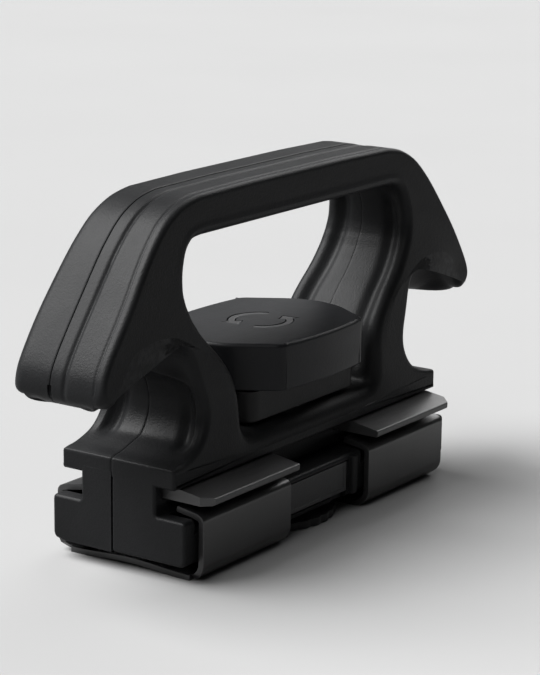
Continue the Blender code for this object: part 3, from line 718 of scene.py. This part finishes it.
# ---------------------------------------------------------------- clamp parts
def jaw(end, name, look):
    """Jaw strip: flat where it is let in, bent down a little towards its free edge."""
    x0, x1 = sorted((end * CLIP_X0, end * JAW_X1))
    outline = [(JAW_Y0, JAW_Z1), (14.6, JAW_Z1), (18.2, JAW_Z1 - 0.55), (JAW_Y1 - 0.3, JAW_Z1 - 1.15),
               (JAW_Y1, JAW_Z1 - 1.4), (JAW_Y1 - 0.1, JAW_Z0 + 0.3), (JAW_Y1 - 0.5, JAW_Z0),
               (10.2, JAW_Z0 + 0.1), (JAW_Y0, JAW_Z0 + 0.1)]
    piece = link(name + "_shell", to_mesh(prism([(-y, z) for y, z in outline], x0, x1, "YZ"), name))
    boolean(piece, [turned_box(3.0, 10, 20, "Z", (end * (JAW_X1 + 0.9), -JAW_Y1 - 0.9, 0))])
    finish_mesh(piece, 28.0, 0.14)
    place(piece, "base", look, name)


def clip_run():
    """Middle line of a clip's sheet in the YZ plane, from one tongue round to the other."""
    half = TONGUE_END + [(CLIP_Y - BEND_R - 0.1, BEND_Z + BEND_R + 0.1)]
    bend_steps, wall = 6, (6.0, 3.0)
    for step in range(1, bend_steps + 1):
        angle = math.radians(90 / bend_steps * step)
        half.append((CLIP_Y - BEND_R + BEND_R * math.sin(angle), BEND_Z + BEND_R * math.cos(angle)))
    half += [(CLIP_Y, z) for z in wall]
    corner_steps = 12
    for step in range(corner_steps + 1):
        angle = math.radians(90 / corner_steps * step)
        half.append((CLIP_Y - CORNER_R * (1 - math.cos(angle)),
                     CLIP_LOW + CORNER_R * (1 - math.sin(angle))))
    reach = CLIP_Y - CORNER_R
    floor_steps = 12
    for step in range(floor_steps - 1, -1, -1):
        share = step / floor_steps
        half.append((reach * step / floor_steps, CLIP_LOW + BOW * (1 - smooth_step(share))))
    return half + [(-y, z) for y, z in half[-2::-1]]


def clip(end, name, look):
    """Bent clamp channel: sheet with a round cut for the bottom cap, cut corners and rivet holes."""
    x0, x1 = sorted((end * CLIP_X0, end * CLIP_X1))
    bm = bmesh.new()
    run = [bm.verts.new((x0, y, z)) for y, z in clip_run()]
    edges = [bm.edges.new(pair) for pair in zip(run, run[1:])]
    grown = bmesh.ops.extrude_edge_only(bm, edges=edges)
    moved = [v for v in grown["geom"] if isinstance(v, bmesh.types.BMVert)]
    bmesh.ops.translate(bm, vec=(x1 - x0, 0, 0), verts=moved)
    piece = link(name + "_shell", to_mesh(bm, name))
    sheet = piece.modifiers.new("sheet", "SOLIDIFY")
    sheet.thickness = SHEET * MM
    sheet.offset = 0.0
    sheet.use_even_offset = True
    evaluate(piece)
    cuts = [cylinder(RIBBED_R + CAP_CLEAR, -8, CLIP_LOW + 2.6, 96)]
    for side in (-1, 1):
        corner = (end * (CLIP_X1 + 1.0), side * 19.0, CLIP_LOW - 1.0)
        cuts.append(turned_box(2.2, -3, 3, "Y", corner))
    for x in RIVETS:
        cuts.append(cylinder(RIVET_HOLE_R, -6, 1, 24, (end * x, 0)))
    boolean(piece, cuts)
    finish_mesh(piece, 38.0, 0.12)
    place(piece, "clamp", look, name)


def bottom_cap(look):
    """Round cap with a ribbed rim, and a bored boss on top."""
    ribs, per_rib, rib_deep = 30, 8, 0.45
    low, high = FOOT_Z, CARRIER_Z0 - GAP
    rim = []
    for step in range(per_rib * ribs):
        angle = 2 * math.pi * step / (per_rib * ribs)
        wave = 0.5 + 0.5 * math.cos(ribs * angle)
        radius = RIBBED_R - rib_deep + rib_deep * wave ** 0.6
        rim.append((radius * math.cos(angle), radius * math.sin(angle)))
    bm = bmesh.new()
    rings = []
    for z, shrink in ((high, 0.0), (low + 0.5, 0.0), (low + 0.15, 0.15), (low, 0.5)):
        ratio = 1 - shrink / RIBBED_R
        rings.append([bm.verts.new((x * ratio, y * ratio, z)) for x, y in rim])
    stack_rings(bm, rings, flip=True)
    bmesh.ops.recalc_face_normals(bm, faces=bm.faces)
    piece = link("ribbed_bottom_cap_shell", to_mesh(bm, "cap"))
    boolean(piece, [cylinder(BOSS_R, high - 0.5, CARRIER_Z1 - 0.2)], "UNION")
    boolean(piece, [cylinder(BOSS_BORE_R, high - 0.6, 3.0, 32)])
    finish_mesh(piece, 40.0)
    place(piece, "clamp", look, "ribbed_bottom_cap")


def label(look):
    """Blank plate with a raised border."""
    low, high = zip(LABEL_X, LABEL_Y, LABEL_Z)
    border_x, border_z, sunk = 1.0, 0.8, 0.15
    piece = link("label_blank_shell", to_mesh(box(low, high), "label"))
    boolean(piece, [box((low[X] + border_x, -18.0, low[Z] + border_z),
                        (high[X] - border_x, low[Y] + sunk, high[Z] - border_z))])
    finish_mesh(piece, 30.0, 0.1)
    place(piece, "base", look, "label_blank")


# ---------------------------------------------------------------- materials
def new_look(name):
    look = bpy.data.materials.new(name)
    look.use_nodes = True
    tree = look.node_tree
    return look, tree, tree.nodes["Principled BSDF"]


def noise(tree, where, scale, detail=3.0, rough=0.55, stretch=None):
    node = tree.nodes.new("ShaderNodeTexNoise")
    node.inputs["Scale"].default_value = scale
    node.inputs["Detail"].default_value = detail
    node.inputs["Roughness"].default_value = rough
    source = where.outputs["Object"]
    if stretch is not None:
        mapping = tree.nodes.new("ShaderNodeMapping")
        mapping.inputs["Scale"].default_value = stretch
        tree.links.new(source, mapping.inputs["Vector"])
        source = mapping.outputs["Vector"]
    tree.links.new(source, node.inputs["Vector"])
    return node.outputs["Fac"]


def ramp(tree, source, low, high, out_low, out_high):
    node = tree.nodes.new("ShaderNodeMapRange")
    node.inputs["From Min"].default_value = low
    node.inputs["From Max"].default_value = high
    node.inputs["To Min"].default_value = out_low
    node.inputs["To Max"].default_value = out_high
    tree.links.new(source, node.inputs["Value"])
    return node.outputs["Result"]


def math_node(tree, kind, a, b):
    node = tree.nodes.new("ShaderNodeMath")
    node.operation = kind
    for socket, value in zip(node.inputs, (a, b)):
        if isinstance(value, (int, float)):
            socket.default_value = value
        else:
            tree.links.new(value, socket)
    return node.outputs["Value"]


def mix(tree, factor, a, b):
    node = tree.nodes.new("ShaderNodeMix")
    node.data_type = "RGBA"
    for socket, value in ((node.inputs["Factor"], factor), (node.inputs["A"], a),
                          (node.inputs["B"], b)):
        if isinstance(value, tuple):
            socket.default_value = (*value, 1.0)
        else:
            tree.links.new(value, socket)
    return node.outputs["Result"]


def bump(tree, shader, height, strength, distance):
    node = tree.nodes.new("ShaderNodeBump")
    node.inputs["Strength"].default_value = strength
    node.inputs["Distance"].default_value = distance
    tree.links.new(height, node.inputs["Height"])
    tree.links.new(node.outputs["Normal"], shader.inputs["Normal"])


def edge_mask(tree, radius):
    """1 on hard edges, 0 on flat ground."""
    soft = tree.nodes.new("ShaderNodeBevel")
    soft.samples = 4
    soft.inputs["Radius"].default_value = radius
    plain = tree.nodes.new("ShaderNodeNewGeometry")
    dot = tree.nodes.new("ShaderNodeVectorMath")
    dot.operation = "DOT_PRODUCT"
    tree.links.new(soft.outputs["Normal"], dot.inputs[0])
    tree.links.new(plain.outputs["Normal"], dot.inputs[1])
    return ramp(tree, dot.outputs["Value"], 0.99, 0.80, 0.0, 1.0)


def moulded(name, colour, rough, grain_scale, grain, highlight_amount, spec, tint=1.35):
    """Moulded plastic or coat: fine spark-eroded grain, faint flow marks, and a painted highlight that
    lightens hard edges.
    """
    look, tree, shader = new_look(name)
    where = tree.nodes.new("ShaderNodeTexCoord")
    fine = noise(tree, where, grain_scale, 2.0, 0.6)
    coarse = noise(tree, where, grain_scale * 0.32, 3.0, 0.5)
    cloud = noise(tree, where, 55.0, 4.0, 0.6)
    flow = noise(tree, where, 160.0, 3.0, 0.5, (0.25, 1.0, 1.0))

    shade = math_node(tree, "MULTIPLY", ramp(tree, cloud, 0.3, 0.7, 0.0, 1.0), 0.6)
    shade = math_node(tree, "ADD", shade, math_node(tree, "MULTIPLY", fine, 0.4))
    dark = tuple(c / tint for c in colour)
    light = tuple(c * tint for c in colour)
    tone = mix(tree, shade, dark, light)
    # Painted highlight: hard edges get a lighter colour, patchy with noise, and slightly lower roughness.
    painted_edge_highlight = math_node(tree, "MULTIPLY", edge_mask(tree, 0.6 * MM),
                       ramp(tree, coarse, 0.4, 0.65, 0.2, 1.0))
    painted_edge_highlight = math_node(tree, "MULTIPLY", painted_edge_highlight, highlight_amount)
    tone = mix(tree, painted_edge_highlight, tone, tuple(c * 2.3 + 0.006 for c in colour))
    tree.links.new(tone, shader.inputs["Base Color"])

    level = math_node(tree, "ADD", ramp(tree, cloud, 0.3, 0.7, rough - 0.035, rough + 0.035),
                      ramp(tree, flow, 0.3, 0.7, -0.02, 0.02))
    level = math_node(tree, "SUBTRACT", level, math_node(tree, "MULTIPLY", painted_edge_highlight, 0.10))
    tree.links.new(level, shader.inputs["Roughness"])
    height = math_node(tree, "ADD", fine, math_node(tree, "MULTIPLY", coarse, 0.6))
    bump(tree, shader, height, grain, 0.12 * MM)
    shader.inputs["IOR"].default_value = 1.5
    shader.inputs["Specular IOR Level"].default_value = spec
    return look


def metal(name, colour, rough):
    """Plated or turned metal: fine lines along Z, dull patches, and a painted highlight that brightens
    hard edges.
    """
    look, tree, shader = new_look(name)
    where = tree.nodes.new("ShaderNodeTexCoord")
    lines = noise(tree, where, 2600.0, 3.0, 0.6, (1.0, 1.0, 0.08))
    patch = noise(tree, where, 240.0, 4.0, 0.6)
    dull = tuple(c * 0.72 for c in colour)
    tone = mix(tree, ramp(tree, patch, 0.35, 0.65, 0.0, 1.0), dull, colour)
    # Painted highlight: hard edges get a brighter colour.
    painted_edge_highlight = math_node(tree, "MULTIPLY", edge_mask(tree, 0.3 * MM), 0.6)
    tone = mix(tree, painted_edge_highlight, tone, tuple(min(1.0, c * 1.4) for c in colour))
    tree.links.new(tone, shader.inputs["Base Color"])
    level = ramp(tree, patch, 0.3, 0.7, rough - 0.08, rough + 0.10)
    tree.links.new(level, shader.inputs["Roughness"])
    shader.inputs["Metallic"].default_value = 1.0
    bump(tree, shader, lines, 0.25, 0.04 * MM)
    return look


handle_look = moulded("handle_plastic", (0.0086, 0.0088, 0.0093), rough=0.46,
                      grain_scale=2300.0, grain=0.50, highlight_amount=0.50, spec=0.09)
knob_look = moulded("knob_plastic", (0.0070, 0.0073, 0.0084), rough=0.46,
                    grain_scale=2000.0, grain=0.26, highlight_amount=0.40, spec=0.17)
# Painted shade: the skirt is coloured darker than the cap to stand for the shadow under the cap.
skirt_painted_shade_look = moulded("skirt_plastic_painted_shade", (0.005, 0.005, 0.0053), rough=0.55,
                     grain_scale=1700.0, grain=0.35, highlight_amount=0.3, spec=0.20)
clamp_look = moulded("clamp_coat", (0.0130, 0.0130, 0.0134), rough=0.34,
                     grain_scale=2600.0, grain=0.14, highlight_amount=0.8, spec=0.60)
jaw_look = moulded("jaw_coat", (0.0215, 0.0215, 0.0220), rough=0.42,
                   grain_scale=2400.0, grain=0.20, highlight_amount=0.6, spec=0.60)
rib_look = moulded("rib_plastic", (0.010, 0.010, 0.0105), rough=0.50,
                   grain_scale=1700.0, grain=0.35, highlight_amount=0.5, spec=0.4)
mark_look = moulded("mark_plastic", (0.018, 0.0182, 0.0190), rough=0.46,
                    grain_scale=1800.0, grain=0.30, highlight_amount=0.5, spec=0.40)
steel_look = metal("zinc_steel", (0.46, 0.46, 0.47), rough=0.34)
brass_look = metal("bushing_brass", (0.60, 0.45, 0.20), rough=0.30)
washer_look = moulded("washer_plastic", (0.52, 0.52, 0.50), rough=0.50,
                      grain_scale=1800.0, grain=0.2, highlight_amount=0.2, spec=0.5, tint=1.08)

body(-1, "body_front", handle_look)
body(1, "body_rear", handle_look)
knob(knob_look, skirt_painted_shade_look, mark_look)
for x_end, x_name in ((-1, "left"), (1, "right")):
    jaw(x_end, f"jaw_strip_{x_name}", jaw_look)
    clip(x_end, f"clamp_clip_{x_name}", clamp_look)
bottom_cap(rib_look)
label(mark_look)

# The CAD nodes that stay as they are: steel, but for two.
KEPT = {"spindle_bushing": brass_look, "thrust_washer": washer_look}
for node_name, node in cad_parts.items():
    for entry in node.material_slots:
        entry.link = "OBJECT"
        entry.material = KEPT.get(node_name, steel_look)


# ---------------------------------------------------------------- floor, light and camera
FLOOR_R = 6.0                # metres, so that its edge is past every view
FLOOR_UNDER = 0.02 * MM      # how far it lies under the foot


def make_floor():
    """Pale paper. Under the suns it comes out nearly as light as the backdrop."""
    bm = bmesh.new()
    bmesh.ops.create_circle(bm, cap_ends=True, segments=96, radius=FLOOR_R)
    mesh = bpy.data.meshes.new("floor")
    bm.to_mesh(mesh)
    bm.free()
    made = link("floor", mesh)
    made.location = (0, 0, -FLOOR_UNDER)
    paper, tree, shader = new_look("pale_paper")
    where = tree.nodes.new("ShaderNodeTexCoord")
    tone = mix(tree, noise(tree, where, 6.0), (0.255, 0.255, 0.255), (0.270, 0.270, 0.270))
    tree.links.new(tone, shader.inputs["Base Color"])
    shader.inputs["Roughness"].default_value = 0.9
    shader.inputs["Specular IOR Level"].default_value = 0.1
    made.data.materials.append(paper)


def make_world():
    """Pale to look at, dim as a light."""
    world = bpy.data.worlds.new("studio")
    bpy.context.scene.world = world
    world.use_nodes = True
    tree = world.node_tree
    seen = tree.nodes["Background"]
    seen.inputs["Color"].default_value = (0.80, 0.80, 0.80, 1.0)
    lit = tree.nodes.new("ShaderNodeBackground")
    lit.inputs["Color"].default_value = (0.03, 0.03, 0.03, 1.0)
    path = tree.nodes.new("ShaderNodeLightPath")
    blend = tree.nodes.new("ShaderNodeMixShader")
    tree.links.new(path.outputs["Is Camera Ray"], blend.inputs["Fac"])
    tree.links.new(lit.outputs["Background"], blend.inputs[1])
    tree.links.new(seen.outputs["Background"], blend.inputs[2])
    tree.links.new(blend.outputs["Shader"], tree.nodes["World Output"].inputs["Surface"])


def sun(name, toward, strength, spread):
    """Soft sun in the direction toward, spread degrees wide."""
    data = bpy.data.lights.new(name, "SUN")
    data.energy = strength
    data.angle = math.radians(spread)
    lamp = link(name, data)
    lamp.rotation_mode = "QUATERNION"
    lamp.rotation_quaternion = Vector(toward).to_track_quat("Z", "Y")


def make_camera(eye, aim, roll, lens):
    """Camera at eye, aimed at a point, turned by roll degrees about its line of sight. In metres."""
    data = bpy.data.cameras.new("camera")
    data.sensor_fit = "AUTO"
    data.sensor_width = 36.0
    data.lens = lens
    data.clip_start = 0.01
    data.clip_end = 20.0
    camera = link("camera", data)
    camera.location = eye
    camera.rotation_mode = "QUATERNION"
    camera.rotation_quaternion = ((aim - eye).to_track_quat("-Z", "Y")
                                  @ Matrix.Rotation(math.radians(roll), 3, "Z").to_quaternion())
    bpy.context.scene.camera = camera


make_floor()
make_world()
sun("key_top_back", (-0.30, 0.56, 0.78), 9.7, 52.0)
sun("right_side", (0.80, 0.14, 0.56), 1.4, 44.0)
sun("left_front", (-0.66, -0.14, 0.74), 0.8, 36.0)
bpy.context.scene.view_settings.view_transform = "Standard"
make_camera(Vector((-0.4396, -0.3039, 0.1728)), Vector((0.0038, 0.0, 0.0400)), roll=0.64, lens=130.0)
